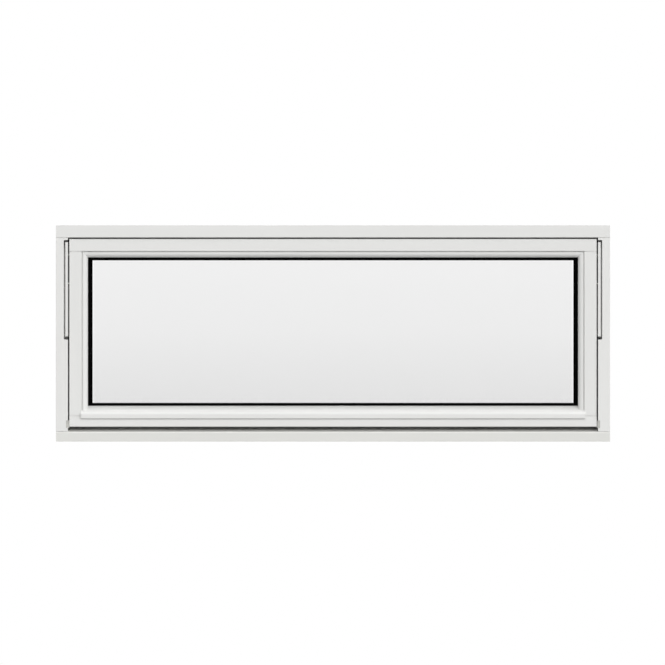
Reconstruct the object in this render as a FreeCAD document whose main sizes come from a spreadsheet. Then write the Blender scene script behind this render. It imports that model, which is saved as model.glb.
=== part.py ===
"""Top hung awning window: painted timber frame and outward opening sash, double glazed.

Millimetres. X runs along the width, Y from the outside to the inside, Z up.
The origin is the middle of the underside of the sill, half way through the frame's depth.
"""
import FreeCAD, Part
import math
import os
import re

import Sketcher

# A difference too small to matter, in millimetres or cubic millimetres
HAIR = 1e-6

# Sizes that can be set by themselves
SIZES = {
    # Outer frame
    "frame_width": 1198,
    "frame_height": 468,
    "frame_depth": 115,
    "jamb_face": 26,
    "head_face": 26.5,
    "stop_cover": 16,
    "sill_face": 21,
    "sill_rise": 7.3,
    "sill_weathering": 26,
    "sill_fall": 1,
    "sill_upstand": 21,
    "arris": 0.7,
    "outer_arris": 0.6,
    "sill_arris": 2.5,
    "inner_arris": 3,
    "joint_gap": 0.7,
    "joint_depth": 1.6,
    "foot_gap": 1.3,
    "lining_groove_width": 13,
    "lining_groove_depth": 8,
    "lining_groove_inset": 14,
    "drip_kerf_width": 4,
    "drip_kerf_depth": 4,
    "drip_kerf_inset": 9,
    "fixing_radius": 4,
    "fixing_inset": 37.5,
    "fixing_low": 120,
    "fixing_spacing": 230,
    # Sash
    "stile_gap": 1.2,
    "sash_gap": 3,
    "head_gap": 3,
    "sill_gap": 11.4,
    "sash_setback": 4,
    "sash_thickness": 58,
    "seal_gap": 4,
    "stile_face": 26.6,
    "top_rail_face": 26.4,
    "bottom_rail_face": 23,
    "underside_rise": 6.4,
    "floor_step": 7.1,
    # Glazing beads
    "bead_width": 13.7,
    "bead_depth": 17,
    "bead_setback": 2,
    "quirk_width": 2.4,
    "quirk_depth": 3.2,
    "bead_flat": 0.5,
    "drip_bead_height": 22.2,
    "drip_projection": 3.8,
    "drip_nose_height": 12.2,
    "drip_nose_radius": 7.5,
    "drip_edge_radius": 1,
    "drip_overhang": 5,
    "drip_return": 2,
    # Glass
    "pane_thickness": 4,
    "cavity": 16,
    "tape_thickness": 3,
    "edge_seal": 16,
    "spacer_height": 7.5,
    "glass_side_clearance": 7.7,
    "glass_top_clearance": 3.6,
    "setting_block_height": 5,
    "setting_block_length": 80,
    "setting_block_inset": 150,
    "gasket_lip": 6.4,
    "gasket_cover": 5,
    "gasket_bevel": 1.8,
    # Weather seal
    "seal_inset": 3,
    "seal_width": 7,
    "seal_radius": 2.5,
    "kerf_width": 3,
    "kerf_depth": 6,
    # Top guided hinge, one at each side
    "slot_depth": 9,
    "slot_drop": 5.5,
    "slot_reach": 29,
    "slot_radius": 2.5,
    "rail_length": 204,
    "rail_drop": 4.4,
    "rail_foot": 6.8,
    "rail_setback": 2,
    "rail_width": 24,
    "rail_thickness": 6,
    "rail_wall": 1.5,
    "rail_lip": 3.2,
    "rail_standoff": 3,
    "rib_inset": 16,
    "rib_width": 6.5,
    "screw_radius": 2,
    "screw_end": 22,
    "shoe_length": 34,
    "shoe_clearance": 0.3,
    "arm_length": 118,
    "arm_width": 12,
    "arm_thickness": 1.8,
    "arm_clearance": 0.5,
    "pin_radius": 2.5,
    "pin_end": 7,
    "bracket_drop": 2,
    "bracket_length": 150,
    "bracket_width": 16,
    "bracket_thickness": 2.5,
    "end_flat": 0.2,
    # Guide block at each lower corner
    "guide_height": 16.4,
    "guide_rise": 8.6,
    "guide_depth": 4.3,
    "guide_reach": 22,
    "guide_setback": 1,
    "guide_step": 2.5,
    "guide_clearance": 0.3,
    "guide_lead": 1.5,
    # Handle on the inside of the bottom rail
    "rose_length": 62,
    "rose_height": 24,
    "rose_thickness": 9,
    "rose_bevel": 2,
    "collar_radius": 10.5,
    "collar_height": 2,
    "handle_height": 14,
    "neck_width": 14,
    "neck_length": 19,
    "bend_inside": 6,
    "bend_outside": 15,
    "lever_length": 112,
    "lever_height": 18,
    "lever_tip": 13,
    "lever_thickness": 10,
    "tip_round": 4,
    "lever_round": 2.5,
}

# Places worked out from those sizes
PLACES = {
    "half_width": "frame_width / 2",
    "front": "-frame_depth / 2",
    "back": "frame_depth / 2",
    "jamb_inner": "half_width - jamb_face",
    "stop_inner": "jamb_inner - stop_cover",
    "head_under": "frame_height - head_face",
    "head_stop_under": "head_under - stop_cover",
    "sash_face": "front + sash_setback",
    "sash_back": "sash_face + sash_thickness",
    "stop_front": "sash_back + seal_gap",
    "sill_break": "front + sill_weathering",
    "sill_crest": "sill_face + sill_rise",
    "sill_back": "sill_crest + sill_fall",
    "sill_top": "sill_back + sill_upstand",
    "groove_back": "back - lining_groove_inset",
    "groove_front": "groove_back - lining_groove_width",
    "kerf_floor": "stop_front + kerf_depth",
    "seal_near": "seal_inset + seal_width",
    "kerf_near": "seal_inset + seal_width / 2 + kerf_width / 2",
    "kerf_far": "seal_inset + seal_width / 2 - kerf_width / 2",
    "sash_half": "jamb_inner - sash_gap",
    "sash_top": "head_under - head_gap",
    "sash_bottom": "sill_face + sill_gap",
    "sash_bottom_back": "sash_bottom + underside_rise",
    "seat_half": "sash_half - stile_face",
    "seat_top": "sash_top - top_rail_face",
    "seat_bottom": "sash_bottom + bottom_rail_face",
    "sight_half": "seat_half - bead_width",
    "sight_top": "seat_top - bead_width",
    "sight_bottom": "seat_bottom + drip_bead_height",
    "bead_front": "sash_face + bead_setback",
    "quirk_floor": "bead_front + quirk_depth",
    "ovolo_radius": "bead_width - quirk_width - bead_flat",
    "bead_back": "sash_face + bead_depth",
    "outer_face": "bead_back + tape_thickness",
    "outer_back": "outer_face + pane_thickness",
    "inner_face": "outer_back + cavity",
    "inner_back": "inner_face + pane_thickness",
    "upstand_face": "inner_back + tape_thickness",
    "glass_floor": "seat_bottom + floor_step",
    "glass_bottom": "glass_floor + setting_block_height",
    "glass_top": "seat_top - glass_top_clearance",
    "glass_half": "seat_half - glass_side_clearance",
    "sealant_height": "edge_seal - spacer_height",
    "nose_front": "sash_face - drip_projection",
    "nose_bottom": "seat_bottom - drip_overhang",
    "nose_top": "nose_bottom + drip_nose_height",
    "slot_floor": "jamb_inner + slot_depth",
    "slot_top": "head_under - slot_drop",
    "rail_top": "slot_top - rail_drop",
    "rail_bottom": "rail_top - rail_length",
    "slot_bottom": "rail_bottom - rail_foot",
    "rail_front": "front + rail_setback",
    "rail_back": "rail_front + rail_width",
    "rail_middle": "rail_front + rail_width / 2",
    "rib_front": "rail_front + rib_inset",
    "rib_back": "rib_front + rib_width",
    "rib_middle": "rib_front + rib_width / 2",
    "rail_outer": "slot_floor - rail_standoff",
    "rail_floor": "rail_outer - rail_wall",
    "rail_mouth": "rail_outer - rail_thickness",
    "lip_back": "rail_mouth + rail_wall",
    "arm_outer": "rail_mouth - arm_clearance",
    "arm_inner": "arm_outer - arm_thickness",
    "bracket_top": "seat_top - bracket_drop",
    "bracket_bottom": "bracket_top - bracket_length",
    "shoe_pin": "bracket_top - pin_end",
    "shoe_top": "shoe_pin + shoe_length / 2",
    "arm_foot": "rail_bottom + pin_end",
    "arm_head": "arm_foot + arm_length - 2 * pin_end",
    "guide_bottom": "sill_face + guide_rise",
    "guide_top": "guide_bottom + guide_height",
    "guide_outer": "jamb_inner + guide_depth",
    "guide_inner": "sash_half + guide_clearance",
    "guide_front": "front + guide_setback",
    "guide_ledge": "guide_front + guide_step",
    "guide_back": "front + guide_reach",
    "handle_level": "sill_top + handle_height",
    "rose_face": "sash_back + rose_thickness",
    "collar_face": "rose_face + collar_height",
    "lever_back": "collar_face + neck_length",
    "lever_front": "lever_back + lever_thickness",
}

doc = FreeCAD.newDocument("awning_window")
sheet = doc.addObject("Spreadsheet::Sheet", "Sizes")
for row, (alias, number) in enumerate(SIZES.items(), 1):
    sheet.set(f"A{row}", alias)
    sheet.set(f"B{row}", str(number))
    sheet.setAlias(f"B{row}", alias)
for row, (alias, formula) in enumerate(PLACES.items(), 1):
    sheet.set(f"D{row}", alias)
    sheet.set(f"E{row}", "=" + formula)
    sheet.setAlias(f"E{row}", alias)
doc.recompute()

subparts = []


def bound(formula):
    """The formula with each of its names read from the sheet."""
    return re.sub(r"[a-z]\w*", lambda word: "Sizes." + word.group(), formula)


def value(formula):
    """What the formula comes to now."""
    return float(sheet.evalExpression(formula))


def new_body(name):
    body = doc.addObject("PartDesign::Body", name)
    body.Label = name
    subparts.append(body)
    return body


def new_sketch(body, plane):
    """An empty sketch on one of the body's own origin planes."""
    sketch = body.newObject("Sketcher::SketchObject", body.Name + "_sketch")
    support = [each for each in body.Origin.OriginFeatures if each.Role == plane]
    sketch.AttachmentSupport = [(support[0], "")]
    sketch.MapMode = "FlatFace"
    return sketch


def bind(sketch, kind, refs, formula):
    """Adds one dimension to the sketch and ties it to the sheet."""
    index = sketch.addConstraint(Sketcher.Constraint(kind, *refs, value(formula)))
    sketch.setExpression(f"Constraints[{index}]", bound(formula))


def pin_point(sketch, element, end, x, y):
    """Holds one end of an element at x, y from the origin."""
    bind(sketch, "DistanceX", (-1, 1, element, end), x)
    bind(sketch, "DistanceY", (-1, 1, element, end), y)


def add_outline(sketch, corners):
    """A closed outline through corners of (x, y) or, where the corner is rounded, (x, y, radius)."""
    count = len(corners)
    spots = [FreeCAD.Vector(value(corner[0]), value(corner[1]), 0) for corner in corners]
    radii = [corner[2] if len(corner) > 2 else None for corner in corners]
    before, after, centres = [], [], []
    for i in range(count):
        to_last = (spots[i - 1] - spots[i]).normalize()
        to_next = (spots[(i + 1) % count] - spots[i]).normalize()
        half_angle = to_last.getAngle(to_next) / 2
        radius = value(radii[i]) if radii[i] else 0
        reach = radius / math.tan(half_angle)
        before.append(spots[i] + to_last * reach)
        after.append(spots[i] + to_next * reach)
        centres.append(spots[i] + (to_last + to_next).normalize() * (radius / math.sin(half_angle)))
    lines = []
    for i in range(count):
        lines.append(sketch.addGeometry(Part.LineSegment(after[i], before[(i + 1) % count])))
    for i in range(count):
        arriving, leaving = lines[i - 1], lines[i]
        if not radii[i]:
            sketch.addConstraint(Sketcher.Constraint("Coincident", arriving, 2, leaving, 1))
            pin_point(sketch, leaving, 1, corners[i][0], corners[i][1])
            continue
        turns_left = (spots[i] - spots[i - 1]).cross(spots[(i + 1) % count] - spots[i]).z > 0
        first, last = (before[i], after[i]) if turns_left else (after[i], before[i])
        circle = Part.Circle(centres[i], FreeCAD.Vector(0, 0, 1), value(radii[i]))
        arc = sketch.addGeometry(
            Part.ArcOfCircle(circle, circle.parameter(first), circle.parameter(last))
        )
        corner = sketch.addGeometry(Part.Point(spots[i]), True)
        start, end = (1, 2) if turns_left else (2, 1)
        sketch.addConstraint(Sketcher.Constraint("Tangent", arriving, 2, arc, start))
        sketch.addConstraint(Sketcher.Constraint("Tangent", leaving, 1, arc, end))
        bind(sketch, "Radius", (arc,), radii[i])
        pin_point(sketch, corner, 1, corners[i][0], corners[i][1])
        sketch.addConstraint(Sketcher.Constraint("PointOnObject", corner, 1, arriving))
        sketch.addConstraint(Sketcher.Constraint("PointOnObject", corner, 1, leaving))


def add_circle(sketch, x, y, radius):
    spot = FreeCAD.Vector(value(x), value(y), 0)
    circle = sketch.addGeometry(Part.Circle(spot, FreeCAD.Vector(0, 0, 1), value(radius)))
    pin_point(sketch, circle, 3, x, y)
    bind(sketch, "Radius", (circle,), radius)


def rectangle(x_low, x_high, y_low, y_high, radius=None):
    """Corners of an upright rectangle, rounded if it has a radius."""
    spots = [(x_low, y_low), (x_high, y_low), (x_high, y_high), (x_low, y_high)]
    return [spot + (radius,) for spot in spots] if radius else spots


def pad(body, plane, outlines, length, offset=None, both_ways=False, circles=()):
    """Pads the outlines and circles by a length, from an offset along the plane's normal."""
    sketch = new_sketch(body, plane)
    for corners in outlines:
        add_outline(sketch, corners)
    for circle in circles:
        add_circle(sketch, *circle)
    if offset:
        sketch.setExpression("AttachmentOffset.Base.z", bound(offset))
    feature = body.newObject("PartDesign::Pad", body.Name + "_pad")
    feature.Profile = sketch
    feature.setExpression("Length", bound(length))
    feature.SideType = "Symmetric" if both_ways else "One side"
    doc.recompute()


def pocket(body, plane, outlines=(), circles=(), length=None, offset=None, reverse=False):
    """Cuts the outlines and circles out of the body, right through it unless a length is given."""
    volume = body.Shape.Volume
    sketch = new_sketch(body, plane)
    for corners in outlines:
        add_outline(sketch, corners)
    for circle in circles:
        add_circle(sketch, *circle)
    if offset:
        sketch.setExpression("AttachmentOffset.Base.z", bound(offset))
    feature = body.newObject("PartDesign::Pocket", body.Name + "_pocket")
    feature.Profile = sketch
    if length:
        feature.setExpression("Length", bound(length))
        feature.Reversed = reverse
    else:
        feature.Type = "ThroughAll"
        feature.SideType = "Symmetric"
    doc.recompute()
    if body.Shape.Volume > volume - HAIR:
        raise RuntimeError(f"a cut in {body.Label} removed nothing")


def round_edges(body, radius, chosen):
    """Rounds the edges of the body that the test chooses."""
    base = body.Tip
    names = [f"Edge{i}" for i, edge in enumerate(base.Shape.Edges, 1) if chosen(edge)]
    feature = body.newObject("PartDesign::Fillet", body.Name + "_round")
    feature.Base = (base, names)
    feature.setExpression("Radius", bound(radius))
    doc.recompute()


def bevel_edges(body, size, chosen):
    """Bevels the edges of the body that the test chooses."""
    base = body.Tip
    names = [f"Edge{i}" for i, edge in enumerate(base.Shape.Edges, 1) if chosen(edge)]
    feature = body.newObject("PartDesign::Chamfer", body.Name + "_bevel")
    feature.Base = (base, names)
    feature.setExpression("Size", bound(size))
    doc.recompute()


def mirrored(body, name):
    """The right hand copy of a left hand piece."""
    copy = doc.addObject("Part::Mirroring", name)
    copy.Label = name
    copy.Source = body
    copy.Normal = FreeCAD.Vector(1, 0, 0)
    subparts.append(copy)


def box(name, x_low, x_high, y_low, y_high, z_low, z_high):
    block = doc.addObject("Part::Box", name)
    block.Label = name
    ends = {"x": (x_low, x_high), "y": (y_low, y_high), "z": (z_low, z_high)}
    for (axis, (low, high)), side in zip(ends.items(), ("Length", "Width", "Height")):
        block.setExpression(side, bound(f"({high}) - ({low})"))
        block.setExpression("Placement.Base." + axis, bound(low))
    subparts.append(block)


def frame_section(face, place):
    """Section of the head and jambs: place turns a distance from the outer side and a depth into x, y."""
    stop = f"{face} + stop_cover"
    kerf_near = f"{stop} - kerf_near"
    kerf_far = f"{stop} - kerf_far"
    return [
        place("0", "front") + ("outer_arris",),
        place(face, "front") + ("arris",),
        place(face, "stop_front"),
        place(kerf_near, "stop_front"),
        place(kerf_near, "kerf_floor"),
        place(kerf_far, "kerf_floor"),
        place(kerf_far, "stop_front"),
        place(stop, "stop_front") + ("arris",),
        place(stop, "back") + ("inner_arris",),
        place("0", "back"),
        place("0", "groove_back"),
        place("lining_groove_depth", "groove_back"),
        place("lining_groove_depth", "groove_front"),
        place("0", "groove_front"),
    ]


def make_head():
    body = new_body("frame_head")
    section = frame_section("head_face", lambda inward, depth: (depth, f"frame_height - ({inward})"))
    pad(body, "YZ_Plane", [section], "frame_width", both_ways=True)


def make_sill():
    """The sill slopes steeply at its front, and gently behind that up to its upstand."""
    body = new_body("frame_sill")
    section = [
        ("front", "0"),
        ("front", "sill_face", "sill_arris"),
        ("sill_break", "sill_crest"),
        ("stop_front", "sill_back"),
        ("stop_front", "sill_top - kerf_near"),
        ("kerf_floor", "sill_top - kerf_near"),
        ("kerf_floor", "sill_top - kerf_far"),
        ("stop_front", "sill_top - kerf_far"),
        ("stop_front", "sill_top", "arris"),
        ("back", "sill_top", "inner_arris"),
        ("back", "0"),
        ("groove_back", "0"),
        ("groove_back", "lining_groove_depth"),
        ("groove_front", "lining_groove_depth"),
        ("groove_front", "0"),
    ]
    pad(body, "YZ_Plane", [section], "frame_width", both_ways=True)
    kerf = rectangle(
        "front + drip_kerf_inset", "front + drip_kerf_inset + drip_kerf_width",
        "-drip_kerf_depth", "drip_kerf_depth",
    )
    pocket(body, "YZ_Plane", [kerf])


def make_jambs():
    """Jambs coped over head and sill, milled for the hinge and the guide block, bored for the fixings."""
    body = new_body("frame_jamb_left")
    section = frame_section("jamb_face", lambda inward, depth: (f"-half_width + {inward}", depth))
    pad(body, "XY_Plane", [section], "frame_height")
    under_head = [
        ("front", "head_under - joint_gap"),
        ("front + joint_depth", "head_under - joint_gap"),
        ("front + joint_depth", "head_under"),
        ("stop_front", "head_under"),
        ("stop_front", "head_stop_under"),
        ("back - joint_depth", "head_stop_under"),
        ("back - joint_depth", "head_stop_under - joint_gap"),
        ("back", "head_stop_under - joint_gap"),
        ("back", "frame_height"),
        ("front", "frame_height"),
    ]
    over_sill = [
        ("front", "0"),
        ("back", "0"),
        ("back", "sill_top + joint_gap"),
        ("back - joint_depth", "sill_top + joint_gap"),
        ("back - joint_depth", "sill_top"),
        ("stop_front", "sill_top"),
        ("stop_front", "sill_back"),
        ("sill_break", "sill_crest"),
        ("front + joint_depth", "sill_face + sill_rise * joint_depth / sill_weathering"),
        ("front + joint_depth", "sill_face + foot_gap"),
        ("front", "sill_face + foot_gap"),
    ]
    pocket(body, "YZ_Plane", [under_head])
    pocket(body, "YZ_Plane", [over_sill])
    slot = [
        ("-slot_floor", "slot_bottom", "slot_radius"),
        ("-jamb_inner", "slot_bottom"),
        ("-jamb_inner", "slot_top"),
        ("-slot_floor", "slot_top", "slot_radius"),
    ]
    pocket(body, "XZ_Plane", [slot], length="slot_reach", offset="-front")
    guide_seat = rectangle("-guide_outer", "-jamb_inner", "guide_bottom", "guide_top")
    pocket(body, "XZ_Plane", [guide_seat], length="guide_reach", offset="-front")
    fixings = [
        ("back - fixing_inset", level, "fixing_radius")
        for level in ("fixing_low", "fixing_low + fixing_spacing")
    ]
    pocket(body, "YZ_Plane", circles=fixings)
    mirrored(body, "frame_jamb_right")


def sash_section(face, place, seat_edge=("arris",)):
    """Section of top rail and stiles: place turns a distance from the outer edge and a depth into x, y."""
    sight = f"{face} + bead_width"
    return [
        place("0", "sash_face") + ("arris",),
        place(face, "sash_face") + seat_edge,
        place(face, "upstand_face"),
        place(sight, "upstand_face"),
        place(sight, "sash_back") + ("inner_arris",),
        place("0", "sash_back"),
    ]


def make_sash_rails():
    """Rails right across the sash, the top rail's lower edge rounded between the stiles only."""
    top = new_body("sash_top_rail")

    def under_top(inward, depth):
        return depth, f"sash_top - ({inward})"

    pad(top, "YZ_Plane", [sash_section("top_rail_face", under_top)], "2 * seat_half", both_ways=True)
    for start in ("-sash_half", "seat_half"):
        square = sash_section("top_rail_face", under_top, seat_edge=())
        pad(top, "YZ_Plane", [square], "stile_face", offset=start)
    bottom = new_body("sash_bottom_rail")
    section = [
        ("sash_face", "sash_bottom", "arris"),
        ("sash_back", "sash_bottom_back"),
        ("sash_back", "sight_bottom", "inner_arris"),
        ("upstand_face", "sight_bottom"),
        ("upstand_face", "glass_floor"),
        ("bead_back", "glass_floor"),
        ("bead_back", "seat_bottom"),
        ("sash_face", "seat_bottom"),
    ]
    pad(bottom, "YZ_Plane", [section], "2 * sash_half", both_ways=True)
    kerf = rectangle(
        "sash_face + drip_kerf_inset", "sash_face + drip_kerf_inset + drip_kerf_width",
        "sash_bottom", "sash_bottom + drip_kerf_depth",
    )
    pocket(bottom, "YZ_Plane", [kerf])


def make_stiles():
    """Stiles coped between the rails, let in for the hinge bracket."""
    body = new_body("sash_stile_left")
    section = sash_section("stile_face", lambda inward, depth: (f"-sash_half + {inward}", depth))
    pad(body, "XY_Plane", [section], "sash_top - sash_bottom", offset="sash_bottom")
    under_rail = [
        ("sash_face", "seat_top - stile_gap"),
        ("sash_face + joint_depth", "seat_top - stile_gap"),
        ("sash_face + joint_depth", "seat_top"),
        ("upstand_face", "seat_top"),
        ("upstand_face", "sight_top"),
        ("sash_back - joint_depth", "sight_top"),
        ("sash_back - joint_depth", "sight_top - joint_gap"),
        ("sash_back", "sight_top - joint_gap"),
        ("sash_back", "sash_top"),
        ("sash_face", "sash_top"),
    ]
    over_rail = [
        ("sash_face", "sash_bottom"),
        ("sash_back", "sash_bottom"),
        ("sash_back", "sight_bottom + joint_gap"),
        ("sash_back - joint_depth", "sight_bottom + joint_gap"),
        ("sash_back - joint_depth", "sight_bottom"),
        ("upstand_face", "sight_bottom"),
        ("upstand_face", "glass_floor"),
        ("bead_back", "glass_floor"),
        ("bead_back", "seat_bottom"),
        ("sash_face + joint_depth", "seat_bottom"),
        ("sash_face + joint_depth", "seat_bottom + stile_gap"),
        ("sash_face", "seat_bottom + stile_gap"),
    ]
    pocket(body, "YZ_Plane", [under_rail])
    pocket(body, "YZ_Plane", [over_rail])
    seat = rectangle(
        "rail_middle - bracket_width / 2", "rail_middle + bracket_width / 2",
        "bracket_bottom", "bracket_top",
    )
    pocket(body, "YZ_Plane", [seat], length="bracket_thickness", offset="-sash_half", reverse=True)
    mirrored(body, "sash_stile_right")


def bead_section(place):
    """Ovolo with a quirk: place turns a distance from the rebate wall and a depth into x, y."""
    return [
        place("0", "quirk_floor"),
        place("quirk_width", "quirk_floor"),
        place("quirk_width", "bead_front"),
        place("bead_width", "bead_front") + ("ovolo_radius",),
        place("bead_width", "bead_back"),
        place("0", "bead_back"),
    ]


def make_beads():
    """Beads mitred at the upper corners, the side beads scribed to the slope of the drip bead."""
    top = new_body("glazing_bead_top")
    section = bead_section(lambda inward, depth: (depth, f"seat_top - {inward}"))
    pad(top, "YZ_Plane", [section], "2 * seat_half", both_ways=True)
    for side in ("-", ""):
        mitre = [
            (side + "seat_half", "seat_top"),
            (side + "seat_half", "sight_top"),
            (side + "sight_half", "sight_top"),
        ]
        pocket(top, "XZ_Plane", [mitre])
    left = new_body("glazing_bead_left")
    section = bead_section(lambda inward, depth: (f"-seat_half + {inward}", depth))
    pad(left, "XY_Plane", [section], "seat_top - seat_bottom", offset="seat_bottom")
    mitre = [
        ("-seat_half", "seat_top"),
        ("-sight_half", "seat_top"),
        ("-sight_half", "sight_top"),
    ]
    pocket(left, "XZ_Plane", [mitre])
    under_slope = [
        ("nose_front", "seat_bottom"),
        ("bead_back", "seat_bottom"),
        ("bead_back", "sight_bottom"),
        ("nose_front", "nose_top", "drip_nose_radius"),
    ]
    pocket(left, "YZ_Plane", [under_slope])
    mirrored(left, "glazing_bead_right")
    drip = new_body("drip_bead")
    section = [
        ("bead_back", "seat_bottom"),
        ("bead_back", "sight_bottom"),
        ("nose_front", "nose_top", "drip_nose_radius"),
        ("nose_front", "nose_bottom", "drip_edge_radius"),
        ("sash_face", "nose_bottom"),
        ("sash_face", "seat_bottom"),
    ]
    pad(drip, "YZ_Plane", [section], "2 * (seat_half + drip_return)", both_ways=True)
    for side in ("-", ""):
        behind_nose = rectangle(
            side + "seat_half", f"{side}(seat_half + drip_return)", "sash_face", "bead_back",
        )
        pocket(drip, "XY_Plane", [behind_nose])


def ring(name, edges, outer, inner, thickness, back):
    """A flat frame between two insets from its edges (half width, bottom, top), padded outwards."""
    half, low, high = edges
    body = new_body(name)
    outlines = [
        rectangle(f"-{half} + {inset}", f"{half} - ({inset})", f"{low} + {inset}", f"{high} - ({inset})")
        for inset in (outer, inner)
    ]
    pad(body, "XZ_Plane", outlines, thickness, offset=f"-{back}")
    return body


def make_glass():
    """Two panes on a spacer and a bed of sealant, held between gaskets on two setting blocks."""
    edges = ("glass_bottom", "glass_top")
    box("outer_pane", "-glass_half", "glass_half", "outer_face", "outer_back", *edges)
    box("inner_pane", "-glass_half", "glass_half", "inner_face", "inner_back", *edges)
    glass = ("glass_half",) + edges
    ring("edge_sealant", glass, "0", "sealant_height", "cavity", "inner_face")
    ring("edge_spacer", glass, "sealant_height", "edge_seal", "cavity", "inner_face")
    sight = ("sight_half", "sight_bottom", "sight_top")
    gasket = ring("outer_gasket", sight, "-gasket_cover", "gasket_lip", "tape_thickness", "outer_face")
    sight_half = value("sight_half")
    lip_front = value("bead_back")
    bevel_edges(
        gasket, "gasket_bevel",
        lambda edge: edge.BoundBox.Center.y < lip_front + HAIR
        and edge.BoundBox.XMin > -sight_half and edge.BoundBox.XMax < sight_half,
    )
    ring("inner_gasket", sight, "-gasket_cover", "0", "tape_thickness", "upstand_face")
    far = "glass_half - setting_block_inset"
    near = "glass_half - setting_block_inset - setting_block_length"
    depth = ("outer_face", "inner_back", "glass_floor", "glass_bottom")
    box("setting_block_left", f"-({far})", f"-({near})", *depth)
    box("setting_block_right", near, far, *depth)


def seal_section(place):
    """Seal on the stop: a rounded bulb against the sash and a stem in the kerf."""
    return [
        place("seal_near", "stop_front"),
        place("seal_near", "sash_back") + ("seal_radius",),
        place("seal_inset", "sash_back") + ("seal_radius",),
        place("seal_inset", "stop_front"),
        place("kerf_far", "stop_front"),
        place("kerf_far", "kerf_floor"),
        place("kerf_near", "kerf_floor"),
        place("kerf_near", "stop_front"),
    ]


def make_weather_seals():
    top = new_body("weather_seal_top")
    section = seal_section(lambda outward, depth: (depth, f"head_stop_under + {outward}"))
    pad(top, "YZ_Plane", [section], "2 * jamb_inner", both_ways=True)
    bottom = new_body("weather_seal_bottom")
    section = seal_section(lambda outward, depth: (depth, f"sill_top - {outward}"))
    pad(bottom, "YZ_Plane", [section], "2 * jamb_inner", both_ways=True)
    left = new_body("weather_seal_left")
    section = seal_section(lambda outward, depth: (f"-stop_inner - {outward}", depth))
    pad(left, "XY_Plane", [section], "head_stop_under - sill_top", offset="sill_top")
    mirrored(left, "weather_seal_right")


def make_hinge_rail():
    """Lipped channel open to the sash, on a rib against the slot's floor that is bored for its screws."""
    body = new_body("hinge_rail_left")
    channel = [
        ("-rail_outer", "rail_front", "rail_wall"),
        ("-rail_mouth", "rail_front"),
        ("-rail_mouth", "rail_front + rail_lip"),
        ("-lip_back", "rail_front + rail_lip"),
        ("-lip_back", "rail_front + rail_wall"),
        ("-rail_floor", "rail_front + rail_wall"),
        ("-rail_floor", "rail_back - rail_wall"),
        ("-lip_back", "rail_back - rail_wall"),
        ("-lip_back", "rail_back - rail_lip"),
        ("-rail_mouth", "rail_back - rail_lip"),
        ("-rail_mouth", "rail_back"),
        ("-rail_outer", "rail_back"),
        ("-rail_outer", "rib_back"),
        ("-slot_floor", "rib_back"),
        ("-slot_floor", "rib_front"),
        ("-rail_outer", "rib_front"),
    ]
    pad(body, "XY_Plane", [channel], "rail_length", offset="rail_bottom")
    levels = ("rail_bottom + screw_end", "rail_top - screw_end")
    pocket(body, "YZ_Plane", circles=[("rib_middle", level, "screw_radius") for level in levels])
    mirrored(body, "hinge_rail_right")


def pinned_bar(name, outline, length, offset, pins):
    """A flat bar padded along X, with round pins of (level, length, offset)."""
    body = new_body(name)
    pad(body, "YZ_Plane", [outline], length, offset=offset)
    for level, reach, start in pins:
        pad(body, "YZ_Plane", [], reach, offset=start, circles=[("rail_middle", level, "pin_radius")])
    return body


def make_hinge_links():
    """Shoe behind the rail's lips, arm beside its mouth and bracket let into the stile, all closed."""
    shoe_outline = rectangle(
        "rail_front + rail_wall + shoe_clearance", "rail_back - rail_wall - shoe_clearance",
        "shoe_top - shoe_length", "shoe_top",
    )
    shoe = pinned_bar(
        "hinge_shoe_left", shoe_outline, "rail_floor - lip_back", "-rail_floor",
        [("shoe_pin", "lip_back - sash_half", "-lip_back")],
    )
    mirrored(shoe, "hinge_shoe_right")
    arm_outline = rectangle(
        "rail_middle - arm_width / 2", "rail_middle + arm_width / 2",
        "arm_foot - pin_end", "arm_head + pin_end", "arm_width / 2 - end_flat",
    )
    arm = pinned_bar(
        "hinge_arm_left", arm_outline, "arm_thickness", "-arm_outer",
        [
            ("arm_foot", "rail_floor - arm_outer", "-rail_floor"),
            ("arm_head", "arm_inner - sash_half", "-arm_inner"),
        ],
    )
    mirrored(arm, "hinge_arm_right")
    bracket = new_body("sash_bracket_left")
    outline = rectangle(
        "rail_middle - bracket_width / 2", "rail_middle + bracket_width / 2",
        "bracket_bottom", "bracket_top",
    )
    pad(bracket, "YZ_Plane", [outline], "bracket_thickness", offset="-sash_half")
    mirrored(bracket, "sash_bracket_right")


def make_guide_blocks():
    """Block let into the jamb, stepped back and bevelled where it fills the gap beside the sash."""
    body = new_body("guide_block_left")
    section = [
        ("-guide_outer", "guide_front"),
        ("-jamb_inner", "guide_front"),
        ("-jamb_inner", "guide_ledge"),
        ("-guide_inner - guide_lead", "guide_ledge"),
        ("-guide_inner", "guide_ledge + guide_lead"),
        ("-guide_inner", "guide_back"),
        ("-guide_outer", "guide_back"),
    ]
    pad(body, "XY_Plane", [section], "guide_height", offset="guide_bottom")
    mirrored(body, "guide_block_right")


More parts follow.
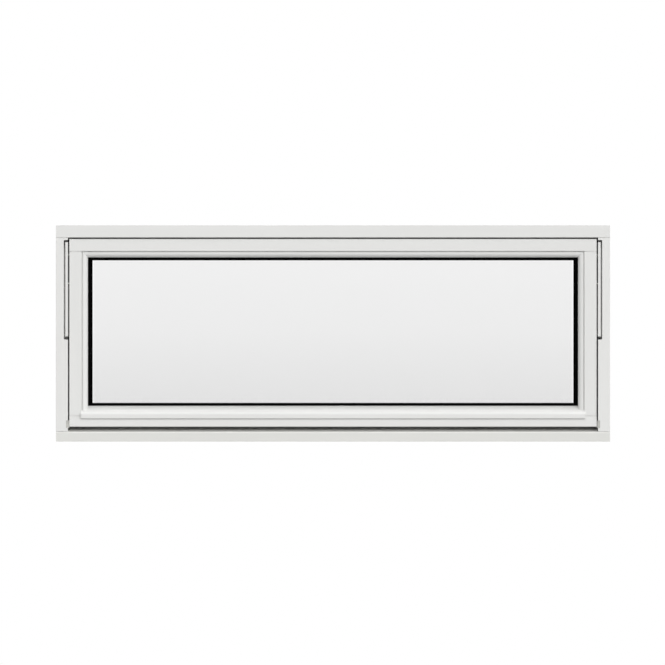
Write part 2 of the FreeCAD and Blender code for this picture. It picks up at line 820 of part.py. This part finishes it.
def make_handle():
    """Bent lever on a bevelled rose with a round collar, on the inside of the bottom rail."""
    rose = new_body("handle_rose")
    outline = rectangle(
        "-rose_length / 2", "rose_length / 2",
        "handle_level - rose_height / 2", "handle_level + rose_height / 2", "rose_height / 2 - end_flat",
    )
    pad(rose, "XZ_Plane", [outline], "rose_thickness", offset="-rose_face")
    rose_face = value("rose_face")
    bevel_edges(rose, "rose_bevel", lambda edge: edge.BoundBox.Center.y > rose_face - HAIR)
    collar = [("0", "handle_level", "collar_radius")]
    pad(rose, "XZ_Plane", [], "collar_height", offset="-collar_face", circles=collar)
    lever = new_body("handle_lever")
    plan = [
        ("-neck_width / 2", "collar_face"),
        ("neck_width / 2", "collar_face"),
        ("neck_width / 2", "lever_back", "bend_inside"),
        ("lever_length", "lever_back", "tip_round"),
        ("lever_length", "lever_front", "tip_round"),
        ("-neck_width / 2", "lever_front", "bend_outside"),
    ]
    pad(lever, "XY_Plane", [plan], "lever_height", offset="handle_level - lever_height / 2")
    for side in ("+", "-"):
        taper = [
            ("-neck_width / 2", f"handle_level {side} lever_height / 2"),
            ("lever_length", f"handle_level {side} lever_height / 2"),
            ("lever_length", f"handle_level {side} lever_tip / 2"),
        ]
        pocket(lever, "XZ_Plane", [taper])
    level = value("handle_level")
    collar_face = value("collar_face")
    round_edges(
        lever, "lever_round",
        lambda edge: edge.BoundBox.YMax > collar_face + HAIR
        and (edge.BoundBox.ZMin > level or edge.BoundBox.ZMax < level),
    )


make_head()
make_sill()
make_jambs()
make_sash_rails()
make_stiles()
make_beads()
make_glass()
make_weather_seals()
make_hinge_rail()
make_hinge_links()
make_guide_blocks()
make_handle()
doc.recompute()

for item in doc.Objects:
    if "Invalid" in item.State or "Error" in item.State:
        raise RuntimeError(f"{item.Label} failed: {item.State}")
for subpart in subparts:
    if subpart.Shape.isNull() or not subpart.Shape.isValid() or not subpart.Shape.Solids:
        raise RuntimeError(f"{subpart.Label} has no valid solid")

os.makedirs("parts", exist_ok=True)
for subpart in subparts:
    subpart.Shape.exportStep(f"parts/{subpart.Label}.step")
    print(subpart.Label, len(subpart.Shape.Solids), round(subpart.Shape.Volume / 1000, 2), "cm3")
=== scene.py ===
"""Looks of the top hung awning window: finishes, small fasteners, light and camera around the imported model.

Metres. X runs along the width, Y from the outside to the inside, Z up.
"""

import math

import bmesh
import bpy
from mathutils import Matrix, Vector


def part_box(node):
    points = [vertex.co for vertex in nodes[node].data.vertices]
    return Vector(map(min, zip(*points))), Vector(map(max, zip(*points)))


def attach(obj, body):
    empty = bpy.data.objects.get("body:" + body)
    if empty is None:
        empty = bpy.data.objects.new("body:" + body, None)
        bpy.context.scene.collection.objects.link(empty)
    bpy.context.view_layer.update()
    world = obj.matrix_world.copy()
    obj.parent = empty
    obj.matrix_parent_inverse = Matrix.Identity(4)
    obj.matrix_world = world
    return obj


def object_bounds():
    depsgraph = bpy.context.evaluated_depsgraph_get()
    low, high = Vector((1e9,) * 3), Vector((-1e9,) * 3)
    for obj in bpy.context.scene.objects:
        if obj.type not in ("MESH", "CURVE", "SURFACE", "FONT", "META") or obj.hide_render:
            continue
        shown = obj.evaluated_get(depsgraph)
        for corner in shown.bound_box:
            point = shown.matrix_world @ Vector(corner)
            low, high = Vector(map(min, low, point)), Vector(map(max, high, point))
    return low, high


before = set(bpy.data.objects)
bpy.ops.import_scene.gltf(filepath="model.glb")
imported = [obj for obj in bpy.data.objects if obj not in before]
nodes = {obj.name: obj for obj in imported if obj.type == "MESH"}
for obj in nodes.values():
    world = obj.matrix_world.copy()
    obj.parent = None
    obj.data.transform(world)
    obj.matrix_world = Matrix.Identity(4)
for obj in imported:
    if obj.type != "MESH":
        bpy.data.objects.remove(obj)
cad_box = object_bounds()

# The photograph's frame: pixels across, metres a pixel, and the pixel that shows the model's origin
PHOTO_PIXELS = 665
METRES_PER_PIXEL = 0.002162
ORIGIN_PIXEL = (332.98, 441.7)

# Colours as they show, on the 0 to 255 scale
PAINT = (227, 227, 225)
# The sill's paint is a darker copy of the frame's paint, painted shade
SHADED_SILL_PAINT = (222, 222, 218)
RAIL_COAT = (227, 227, 225)
HANDLE_COAT = (222, 222, 220)
NYLON = (190, 190, 185)
PACKER = (96, 102, 110)
# The hinge arms' zinc is darkened below the screws' zinc, painted shade in their gap
ZINC_SHADED = (150, 150, 147)
SCREW_ZINC = (214, 214, 210)
RUBBER = (3, 3, 3)
SPACER = (3, 3, 3)

# The span that most of a noise lies in, which each finish spreads over its tones and its roughness
NOISE_SPAN = (0.3, 0.7)

# For each finish: sizes of its patterns, darkest and lightest share of its colour, lowest and highest
# roughness, height of its relief, and for plastics the specular level
TIMBER_TONE = {"length": 0.35, "width": 0.03}
TIMBER_GRAIN = {"length": 0.12, "width": 0.003}
TIMBER_PEEL = 0.0016
TIMBER_SHARES = (0.985, 1.01)
TIMBER_ROUGHNESS = (0.36, 0.46)
TIMBER_GRAIN_HEIGHT = 0.00012
TIMBER_PEEL_HEIGHT = 0.00002

COAT_TONE = 0.02
COAT_PEEL = 0.0009
COAT_SHARES = (0.98, 1.01)
COAT_ROUGHNESS = (0.3, 0.42)
COAT_PEEL_HEIGHT = 0.00002

PLASTIC_TONE = 0.012
PLASTIC_SKIN = 0.0006
PLASTIC_SHARES = (0.85, 1.1)
PLASTIC_SKIN_HEIGHT = 0.00002
BLACK_ROUGHNESS = (0.6, 0.8)
BLACK_SPECULAR = 0.02
NYLON_ROUGHNESS = (0.45, 0.6)
NYLON_SPECULAR = 0.4
PACKER_ROUGHNESS = (0.5, 0.65)
PACKER_SPECULAR = 0.4

ZINC_TONE = 0.015
ZINC_STREAK = {"length": 0.03, "width": 0.0006}
ZINC_SHARES = (0.9, 1.05)
ZINC_ROUGHNESS = (0.26, 0.4)
ZINC_STREAK_HEIGHT = 0.00001

# Refractive index of the glass, share of light that each pane passes at its foot, half way up and at its
# head along its side lines, a painted reflection that greys the glass towards its foot, the share of that
# in between the lines, which leaves them as a painted highlight, where they start from the middle, and how
# far they fade
GLASS_IOR = 1.52
GLASS_REFLECTION_SHARES = ((0, 0.927), (0.5, 0.979), (1, 1.0))
GLASS_MIDDLE = 0.957
GLASS_HIGHLIGHT_START = 0.5165
GLASS_HIGHLIGHT_FADE = 0.0002

# Painted shade, as the share of light left at places across a node: up the drip bead towards the glass, and
# inwards from the front of the sill under the sash. The last stretch at each end is left unshaded.
DRIP_SHADE_LEVELS = ((0, 1), (0.63, 1), (0.96, 0.68), (1, 0.68))
SILL_SHADE_LEVELS = ((0, 1), (0.01, 1), (0.036, 0.68), (0.12, 0.76), (0.22, 0.95), (0.3, 1), (1, 1))
UNSHADED_END = 0.0006


def linear(colour):
    """The shader's colour for one written on the 0 to 255 scale, by the sRGB curve."""
    shares = [channel / 255 for channel in colour]
    return tuple(s / 12.92 if s <= 0.04045 else ((s + 0.055) / 1.055) ** 2.4 for s in shares)


def tones(colour, shares):
    """The shader's darkest and lightest colour, as shares of one written on the 0 to 255 scale."""
    return [tuple(channel * share for channel in linear(colour)) for share in shares]


def mapped(tree, value, source, target=(0, 1)):
    """A node that maps a value from one span to another and holds it at its ends."""
    spread = tree.nodes.new("ShaderNodeMapRange")
    for name, number in zip(("From Min", "From Max", "To Min", "To Max"), (*source, *target)):
        spread.inputs[name].default_value = number
    tree.links.new(value, spread.inputs["Value"])
    return spread


class Finish:
    """A node material with one principled shader, built up by its own short methods."""

    def __init__(self, name):
        self.material = bpy.data.materials.new(name)
        self.material.use_nodes = True
        self.tree = self.material.node_tree
        self.nodes = self.tree.nodes
        self.links = self.tree.links
        self.shader = self.nodes["Principled BSDF"]
        self.place = self.nodes.new("ShaderNodeTexCoord").outputs["Object"]

    def set(self, **values):
        for name, value in values.items():
            self.shader.inputs[name.replace("_", " ")].default_value = value
        return self

    def feed(self, name, source):
        self.links.new(source, self.shader.inputs[name])
        return self

    def noise(self, scale, detail=4.0, roughness=0.55):
        """Noise with its own scale along each axis, in features a metre."""
        mapping = self.nodes.new("ShaderNodeMapping")
        mapping.inputs["Scale"].default_value = scale
        self.links.new(self.place, mapping.inputs["Vector"])
        texture = self.nodes.new("ShaderNodeTexNoise")
        texture.inputs["Scale"].default_value = 1.0
        texture.inputs["Detail"].default_value = detail
        texture.inputs["Roughness"].default_value = roughness
        self.links.new(mapping.outputs["Vector"], texture.inputs["Vector"])
        return texture.outputs["Fac"]

    def colour(self, factor, low, high):
        ramp = self.nodes.new("ShaderNodeValToRGB")
        for element, place, colour in zip(ramp.color_ramp.elements, NOISE_SPAN, (low, high)):
            element.position = place
            element.color = (*colour, 1)
        self.links.new(factor, ramp.inputs["Fac"])
        return self.feed("Base Color", ramp.outputs["Color"])

    def roughness(self, factor, low, high):
        spread = mapped(self.tree, factor, NOISE_SPAN, (low, high))
        return self.feed("Roughness", spread.outputs["Result"])

    def combined(self, operation, *sources):
        node = self.nodes.new("ShaderNodeVectorMath")
        node.operation = operation
        for source, socket in zip(sources, node.inputs):
            self.links.new(source, socket)
        return node.outputs["Vector"]

    def across(self, axis, low, high, mirrored=False):
        """0 to 1 along an axis between two places, the same at both sides of the middle if mirrored."""
        place = self.combined("ABSOLUTE", self.place) if mirrored else self.place
        split = self.nodes.new("ShaderNodeSeparateXYZ")
        self.links.new(place, split.inputs["Vector"])
        return mapped(self.tree, split.outputs[axis], (low, high)).outputs["Result"]

    def levels(self, factor, stops):
        """Greys that follow stops of (place, level), the first at 0 and the last at 1."""
        ramp = self.nodes.new("ShaderNodeValToRGB")
        elements = ramp.color_ramp.elements
        for place, _ in stops[1:-1]:
            elements.new(place)
        for element, (_, level) in zip(elements, stops):
            element.color = (level, level, level, 1)
        self.links.new(factor, ramp.inputs["Fac"])
        return ramp.outputs["Color"]

    def shade(self, share):
        """Multiplies the colour by a share that varies over the surface."""
        colour = self.shader.inputs["Base Color"].links[0].from_socket
        return self.feed("Base Color", self.combined("MULTIPLY", colour, share))

    def bump(self, *layers):
        """Relief from layers of (noise, height), laid over each other."""
        normal = None
        for factor, height in layers:
            bump = self.nodes.new("ShaderNodeBump")
            bump.inputs["Strength"].default_value = 1.0
            bump.inputs["Distance"].default_value = height
            self.links.new(factor, bump.inputs["Height"])
            if normal:
                self.links.new(normal, bump.inputs["Normal"])
            normal = bump.outputs["Normal"]
        return self.feed("Normal", normal)


def along(axis, length, width):
    """Noise scale for streaks of that length along an axis and that width across it."""
    return tuple(1 / length if each == axis else 1 / width for each in "XYZ")


def even(size):
    return (1 / size,) * 3


def painted_timber(name, axis, paint):
    """Satin white paint that lets the grain below show as a faint relief."""
    finish = Finish(name)
    tone = finish.noise(along(axis, **TIMBER_TONE), detail=3)
    grain = finish.noise(along(axis, **TIMBER_GRAIN), detail=5)
    peel = finish.noise(even(TIMBER_PEEL), detail=2)
    finish.colour(tone, *tones(paint, TIMBER_SHARES))
    finish.roughness(grain, *TIMBER_ROUGHNESS)
    return finish.bump((grain, TIMBER_GRAIN_HEIGHT), (peel, TIMBER_PEEL_HEIGHT))


def painted_shade_timber(name, paint, node, axis, stops):
    """Painted timber of one level node, with painted shade across its box that leaves its ends unshaded."""
    finish = painted_timber(name, "X", paint)
    low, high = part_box(node)
    index = "XYZ".index(axis)
    painted_shade = finish.levels(finish.across(axis, low[index], high[index]), stops)
    ends = finish.across("X", high.x - UNSHADED_END, high.x - UNSHADED_END / 2, mirrored=True)
    return finish.shade(finish.combined("MAXIMUM", painted_shade, ends))


def coated_metal(name, coat):
    """Powder coat with a fine orange peel."""
    finish = Finish(name)
    tone = finish.noise(even(COAT_TONE))
    peel = finish.noise(even(COAT_PEEL), detail=2)
    finish.colour(tone, *tones(coat, COAT_SHARES))
    finish.roughness(peel, *COAT_ROUGHNESS)
    return finish.bump((peel, COAT_PEEL_HEIGHT))


def matt_plastic(name, colour, roughness, specular):
    """Moulded plastic or rubber with a fine matt skin."""
    finish = Finish(name).set(Specular_IOR_Level=specular)
    tone = finish.noise(even(PLASTIC_TONE))
    skin = finish.noise(even(PLASTIC_SKIN), detail=3)
    finish.colour(tone, *tones(colour, PLASTIC_SHARES))
    finish.roughness(skin, *roughness)
    return finish.bump((skin, PLASTIC_SKIN_HEIGHT))


def zinc_plate(name, zinc):
    """Bright zinc on rolled steel, faintly streaked upwards."""
    finish = Finish(name).set(Metallic=1.0)
    tone = finish.noise(even(ZINC_TONE))
    streak = finish.noise(along("Z", **ZINC_STREAK))
    finish.colour(tone, *tones(zinc, ZINC_SHARES))
    finish.roughness(streak, *ZINC_ROUGHNESS)
    return finish.bump((streak, ZINC_STREAK_HEIGHT))


def clear_glass(name):
    """Float glass with a painted reflection that greys its foot and a thin painted highlight at each side."""
    finish = Finish(name).set(Transmission_Weight=1.0, Roughness=0.0, IOR=GLASS_IOR)
    foot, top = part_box("outer_pane")
    # Painted reflection: the glass passes less light towards its foot
    finish.feed("Base Color", finish.levels(finish.across("Z", foot.z, top.z), GLASS_REFLECTION_SHARES))
    # Painted highlight: a thin brighter line along each side
    highlight_band = finish.across("X", GLASS_HIGHLIGHT_START - GLASS_HIGHLIGHT_FADE, GLASS_HIGHLIGHT_START, mirrored=True)
    return finish.shade(finish.levels(highlight_band, ((0, GLASS_MIDDLE), (1, 1))))


def dress(finish, *names):
    for name in names:
        nodes[name].data.materials.clear()
        nodes[name].data.materials.append(finish.material)


def both(name):
    return name + "_left", name + "_right"


def dress_nodes():
    level = painted_timber("painted_timber_level", "X", PAINT)
    upright = painted_timber("painted_timber_upright", "Z", PAINT)
    dress(level, "frame_head", "sash_top_rail", "sash_bottom_rail", "glazing_bead_top")
    dress(upright, *both("frame_jamb"), *both("sash_stile"), *both("glazing_bead"))
    # Painted shade on the drip bead near the glass and on the sill under the sash
    dress(painted_shade_timber("painted_drip_bead", PAINT, "drip_bead", "Z", DRIP_SHADE_LEVELS), "drip_bead")
    dress(painted_shade_timber("painted_sill", SHADED_SILL_PAINT, "frame_sill", "Y", SILL_SHADE_LEVELS), "frame_sill")
    dress(clear_glass("glass"), "outer_pane", "inner_pane")
    rubber = matt_plastic("black_rubber", RUBBER, BLACK_ROUGHNESS, BLACK_SPECULAR)
    dress(rubber, "outer_gasket", "inner_gasket", "edge_sealant")
    dress(rubber, "weather_seal_top", "weather_seal_bottom", *both("weather_seal"))
    dress(matt_plastic("black_spacer", SPACER, BLACK_ROUGHNESS, BLACK_SPECULAR), "edge_spacer")
    dress(coated_metal("coated_rail", RAIL_COAT), *both("hinge_rail"))
    nylon = matt_plastic("grey_nylon", NYLON, NYLON_ROUGHNESS, NYLON_SPECULAR)
    dress(nylon, *both("hinge_shoe"), *both("guide_block"))
    dress(matt_plastic("packer", PACKER, PACKER_ROUGHNESS, PACKER_SPECULAR), *both("setting_block"))
    dress(coated_metal("handle_coat", HANDLE_COAT), "handle_rose", "handle_lever")
    # The hinge arms and brackets take the darker zinc, painted shade in their gap
    dress(zinc_plate("zinc_steel", ZINC_SHADED), *both("hinge_arm"), *both("sash_bracket"))
    # The panes cast no shadow and throw no light back
    for pane in ("outer_pane", "inner_pane"):
        nodes[pane].visible_shadow = False
        nodes[pane].visible_diffuse = False


# Raised countersunk screws in the handle rose: their places along X, the rose's face along Y, sizes of the
# head and of its cross, shares of the radius at which the head's loops lie, the share of the cross that its
# floor keeps, and the angle from which an edge is sharp
ROSE_SCREWS = (-0.0215, 0.0215)
ROSE_FACE = 0.0135
HEAD_RADIUS = 0.0036
HEAD_RISE = 0.0011
HEAD_SUNK = 0.0001
HEAD_LOOPS = (1.0, 0.9, 0.75, 0.62)
CROSS_REACH = 0.0019
CROSS_HALF_WIDTH = 0.00045
CROSS_DEPTH = 0.0008
CROSS_FLOOR = 0.82
SHARP_EDGE_DEGREES = 35

# Parts of a turn, steps round an eighth of the head, over the end of an arm of the cross and beside it,
# and the least sine that a width is divided by
EIGHTH = math.pi / 4
QUARTER = math.pi / 2
END_STEPS = 2
SIDE_STEPS = 6
LEAST_SINE = 0.0001


def cross_edge(angle):
    """Distance from the middle to the edge of the cross recess in that direction."""
    turn = abs((angle + EIGHTH) % QUARTER - EIGHTH)
    return min(CROSS_REACH / math.cos(turn), CROSS_HALF_WIDTH / max(math.sin(turn), LEAST_SINE))


def screw_angles():
    """Directions round the head, with the corners of the cross among them."""
    end_corner = math.atan2(CROSS_HALF_WIDTH, CROSS_REACH)
    side = EIGHTH - end_corner
    eighth = [end_corner * step / END_STEPS for step in range(END_STEPS)]
    eighth += [end_corner + side * step / SIDE_STEPS for step in range(SIDE_STEPS + 1)]
    quarter = eighth + [QUARTER - angle for angle in reversed(eighth[1:-1])]
    return [turn * QUARTER + angle for turn in range(4) for angle in quarter]


def dome(radius):
    return HEAD_RISE * (1 - (radius / HEAD_RADIUS) ** 2)


def screw_loops(angles):
    """Loops of (radius, height) from the rim up over the dome, into the cross and to its floor."""
    loops = [[(HEAD_RADIUS, -HEAD_SUNK)] * len(angles)]
    for share in HEAD_LOOPS:
        radius = HEAD_RADIUS * share
        loops.append([(radius, dome(radius))] * len(angles))
    edges = [cross_edge(angle) for angle in angles]
    loops.append([(edge, dome(edge)) for edge in edges])
    loops.append([(edge * CROSS_FLOOR, HEAD_RISE - CROSS_DEPTH) for edge in edges])
    return loops


def make_screw(name, place, material):
    angles = screw_angles()
    shape = bmesh.new()
    rings = []
    for loop in screw_loops(angles):
        ring = []
        for angle, (radius, height) in zip(angles, loop):
            x = place.x + radius * math.cos(angle)
            z = place.z + radius * math.sin(angle)
            ring.append(shape.verts.new((x, place.y + height, z)))
        rings.append(ring)
    for lower, upper in zip(rings, rings[1:]):
        for i in range(len(angles)):
            shape.faces.new((lower[i - 1], lower[i], upper[i], upper[i - 1]))
    shape.faces.new(rings[-1])
    shape.faces.new(rings[0])
    bmesh.ops.recalc_face_normals(shape, faces=shape.faces)
    mesh = bpy.data.meshes.new(name)
    shape.to_mesh(mesh)
    shape.free()
    mesh.shade_smooth()
    mesh.set_sharp_from_angle(angle=math.radians(SHARP_EDGE_DEGREES))
    mesh.materials.append(material)
    screw = bpy.data.objects.new(name, mesh)
    bpy.context.scene.collection.objects.link(screw)
    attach(screw, "root")


def make_rose_screws(material):
    low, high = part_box("handle_rose")
    level = (low.z + high.z) / 2
    for name, x in zip(both("rose_screw"), ROSE_SCREWS):
        make_screw(name, Vector((x, ROSE_FACE, level)), material)


# The floor: half width, darkest and lightest colour, size of its noise, roughness and specular level
FLOOR_REACH = 20.0
FLOOR_LOW = (0.855, 0.855, 0.855)
FLOOR_HIGH = (0.87, 0.87, 0.87)
FLOOR_TONE = 0.4
FLOOR_ROUGHNESS = 0.9
FLOOR_SPECULAR = 0.1

# The dark card: distance, half width, and how far from its middle it is dark all over
CARD_DISTANCE = 3.5
CARD_REACH = 3.0
CARD_DARK_REACH = 1.2

# Corners of a square with a half width of 1
SQUARE = ((-1, -1), (1, -1), (1, 1), (-1, 1))


def stage_plane(name, corners, material):
    mesh = bpy.data.meshes.new(name)
    mesh.from_pydata(corners, [], [range(len(corners))])
    mesh.materials.append(material)
    plane = bpy.data.objects.new(name, mesh)
    bpy.context.scene.collection.objects.link(plane)
    return plane


def make_floor():
    """A pale floor that takes shadows and throws no light back on the window."""
    finish = Finish("floor").set(Roughness=FLOOR_ROUGHNESS, Specular_IOR_Level=FLOOR_SPECULAR)
    finish.colour(finish.noise(even(FLOOR_TONE)), FLOOR_LOW, FLOOR_HIGH)
    corners = [(FLOOR_REACH * x, FLOOR_REACH * y, 0) for x, y in SQUARE]
    floor = stage_plane("floor", corners, finish.material)
    floor.visible_diffuse = False


def make_dark_card():
    """A dark card in front of the window, seen only in its reflections and fading to white at its edges."""
    material = bpy.data.materials.new("dark_card")
    material.use_nodes = True
    tree = material.node_tree
    tree.nodes.clear()
    place = tree.nodes.new("ShaderNodeTexCoord")
    distance = tree.nodes.new("ShaderNodeVectorMath")
    distance.operation = "LENGTH"
    tree.links.new(place.outputs["Object"], distance.inputs[0])
    fade = mapped(tree, distance.outputs["Value"], (CARD_DARK_REACH, CARD_REACH))
    fade.interpolation_type = "SMOOTHSTEP"
    emission = tree.nodes.new("ShaderNodeEmission")
    tree.links.new(fade.outputs["Result"], emission.inputs["Strength"])
    output = tree.nodes.new("ShaderNodeOutputMaterial")
    tree.links.new(emission.outputs["Emission"], output.inputs["Surface"])
    corners = [(CARD_REACH * x, 0, CARD_REACH * z) for x, z in SQUARE]
    card = stage_plane("dark_card", corners, material)
    card.location = (0, -CARD_DISTANCE, (cad_box[0][2] + cad_box[1][2]) / 2)
    card.visible_camera = False
    card.visible_diffuse = False
    card.visible_transmission = False
    card.visible_volume_scatter = False
    card.visible_shadow = False


# Ambient light from the outside and from the inside, the world's tone below its horizon, where that starts
# and how far it fades, and the soft lamps, with their angles in degrees
AMBIENT_FRONT = 0.65
AMBIENT_BACK = 0.1
GROUND = 0.845
GROUND_TOP = -0.01
GROUND_FADE = 0.01
KEY = {"strength": 0.5, "angle": 50, "source": (0.5, -0.5, 0.7)}
SIDE = {"strength": 0.75, "angle": 50, "source": (0.75, -0.65, 0.1)}
SKY = {"strength": 1.12, "angle": 10, "source": (0.1, -0.68, 0.73)}
ROOM = {"strength": 2.75, "angle": 40, "source": (-0.3, 0.93, 0.2)}


def white_background(tree, strength):
    background = tree.nodes.new("ShaderNodeBackground")
    background.inputs["Color"].default_value = (1, 1, 1, 1)
    tree.links.new(strength.outputs["Result"], background.inputs["Strength"])
    return background.outputs["Background"]


def make_world():
    """White to the camera, in reflections and through the glass, with the floor's tone below the horizon.

    Elsewhere it is a soft light, less from inside.
    """
    world = bpy.data.worlds.new("studio")
    bpy.context.scene.world = world
    world.use_nodes = True
    tree = world.node_tree
    tree.nodes.clear()
    path = tree.nodes.new("ShaderNodeLightPath")
    seen = path.outputs["Is Camera Ray"]
    for other in ("Is Glossy Ray", "Is Transmission Ray"):
        most = tree.nodes.new("ShaderNodeMath")
        most.operation = "MAXIMUM"
        tree.links.new(seen, most.inputs[0])
        tree.links.new(path.outputs[other], most.inputs[1])
        seen = most.outputs["Value"]
    heading = tree.nodes.new("ShaderNodeTexCoord")
    split = tree.nodes.new("ShaderNodeSeparateXYZ")
    tree.links.new(heading.outputs["Generated"], split.inputs["Vector"])
    level = mapped(tree, split.outputs["Y"], (-1, 1), (AMBIENT_FRONT, AMBIENT_BACK))
    ground = mapped(tree, split.outputs["Z"], (GROUND_TOP - GROUND_FADE, GROUND_TOP), (GROUND, 1))
    mix = tree.nodes.new("ShaderNodeMixShader")
    tree.links.new(seen, mix.inputs["Fac"])
    tree.links.new(white_background(tree, level), mix.inputs[1])
    tree.links.new(white_background(tree, ground), mix.inputs[2])
    output = tree.nodes.new("ShaderNodeOutputWorld")
    tree.links.new(mix.outputs["Shader"], output.inputs["Surface"])


def make_lamp(name, strength, angle, source):
    light = bpy.data.lights.new(name, "SUN")
    light.energy = strength
    light.angle = math.radians(angle)
    lamp = bpy.data.objects.new(name, light)
    bpy.context.scene.collection.objects.link(lamp)
    lamp.rotation_euler = Vector(source).to_track_quat("Z", "Y").to_euler()
    return lamp


CAMERA_DISTANCE = 12.0


def make_camera():
    """Straight on from outside, without perspective, framed as in the photograph."""
    camera_data = bpy.data.cameras.new("camera")
    camera_data.type = "ORTHO"
    camera_data.ortho_scale = PHOTO_PIXELS * METRES_PER_PIXEL
    camera = bpy.data.objects.new("camera", camera_data)
    bpy.context.scene.collection.objects.link(camera)
    middle = PHOTO_PIXELS / 2
    camera.location = (
        (middle - ORIGIN_PIXEL[0]) * METRES_PER_PIXEL,
        -CAMERA_DISTANCE,
        (ORIGIN_PIXEL[1] - middle) * METRES_PER_PIXEL,
    )
    camera.rotation_euler = (math.pi / 2, 0, 0)
    bpy.context.scene.camera = camera


dress_nodes()
make_rose_screws(zinc_plate("screw_zinc", SCREW_ZINC).material)
make_floor()
make_dark_card()
make_world()
make_lamp("key", **KEY)
make_lamp("side", **SIDE).visible_glossy = False
make_lamp("sky", **SKY)
make_lamp("room", **ROOM).visible_glossy = False
make_camera()
bpy.context.scene.view_settings.view_transform = "Standard"
